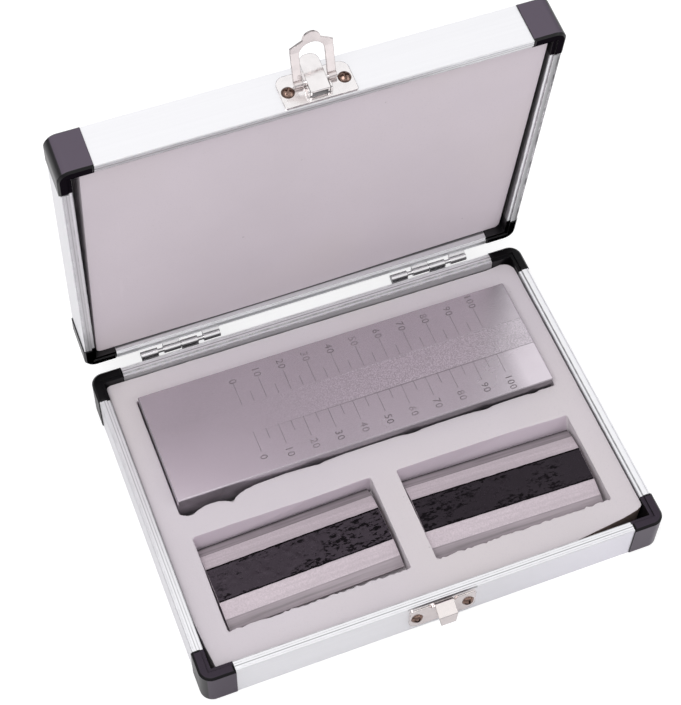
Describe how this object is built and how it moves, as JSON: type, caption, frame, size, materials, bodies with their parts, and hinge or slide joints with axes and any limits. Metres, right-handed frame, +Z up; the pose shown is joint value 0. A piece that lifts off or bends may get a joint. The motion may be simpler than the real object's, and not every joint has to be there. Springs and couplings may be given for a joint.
{
  "type": "fineness of grind gauge",
  "caption": "Steel gauge block with a wedge groove and a graduated scale, kept with its scrapers in a foam-lined metal-edged case with a hinged lid and a draw latch.",
  "frame": {"origin": "on the surface that the case stands on, under the middle of the open kit's outline", "axes": "+X along the hinge line to the right seen from the latch side, +Y to the hinge side, +Z up"},
  "size_m": [0.2066, 0.1837, 0.2007],
  "materials": {
    "rail_aluminium": "satin anodised",
    "corner_plastic": "satin black",
    "panel_plastic": "fine grained grey",
    "insert_foam": "soft foam, matte",
    "liner_foam": "soft foam, matte",
    "block_steel": "fine ground",
    "scraper_steel": "ground slopes, dark middle",
    "screw_steel": "brown plated",
    "hinge_steel": "bright plated",
    "latch_steel": "bright nickel plated"
  },
  "bodies": {
    "base": {"base_corner_front_left": "corner_plastic", "base_corner_front_right": "corner_plastic", "base_corner_rear_left": "corner_plastic", "base_corner_rear_right": "corner_plastic", "base_floor_panel": "panel_plastic", "base_rail_front": "rail_aluminium", "base_rail_left": "rail_aluminium", "base_rail_rear": "rail_aluminium", "base_rail_right": "rail_aluminium", "catch_plate": "latch_steel", "catch_screw_left": "screw_steel", "catch_screw_right": "screw_steel", "foam_insert": "insert_foam", "gauge_block": "block_steel", "hinge_left_base_leaf": "hinge_steel", "hinge_left_pin": "hinge_steel", "hinge_right_base_leaf": "hinge_steel", "hinge_right_pin": "hinge_steel", "scraper_left": "scraper_steel", "scraper_right": "scraper_steel"},
    "lid": {"hinge_left_lid_leaf": "hinge_steel", "hinge_right_lid_leaf": "hinge_steel", "latch_plate": "latch_steel", "latch_screw_left": "screw_steel", "latch_screw_right": "screw_steel", "lever_pin": "latch_steel", "lid_corner_front_left": "corner_plastic", "lid_corner_front_right": "corner_plastic", "lid_corner_rear_left": "corner_plastic", "lid_corner_rear_right": "corner_plastic", "lid_liner": "liner_foam", "lid_rail_front": "rail_aluminium", "lid_rail_left": "rail_aluminium", "lid_rail_rear": "rail_aluminium", "lid_rail_right": "rail_aluminium", "lid_top_panel": "panel_plastic"},
    "lever": {"latch_lever": "latch_steel", "loop_pin": "latch_steel"},
    "loop": {"latch_loop": "latch_steel"}
  },
  "joints": [
    {"name": "lid_hinge", "type": "hinge", "parent": "base", "child": "lid", "pos_m": [0, 0.07205, 0.0196], "axis": [1, 0, 0], "range_deg": [0, 84]},
    {"name": "lever_pivot", "type": "hinge", "parent": "lid", "child": "lever", "pos_m": [0.001, 0.06108, 0.17852], "axis": [1, 0, 0], "range_deg": [0, 75]},
    {"name": "loop_pivot", "type": "hinge", "parent": "lever", "child": "loop", "pos_m": [0.001, 0.06527, 0.17886], "axis": [1, 0, 0], "range_deg": [-48, 27]}
  ]
}
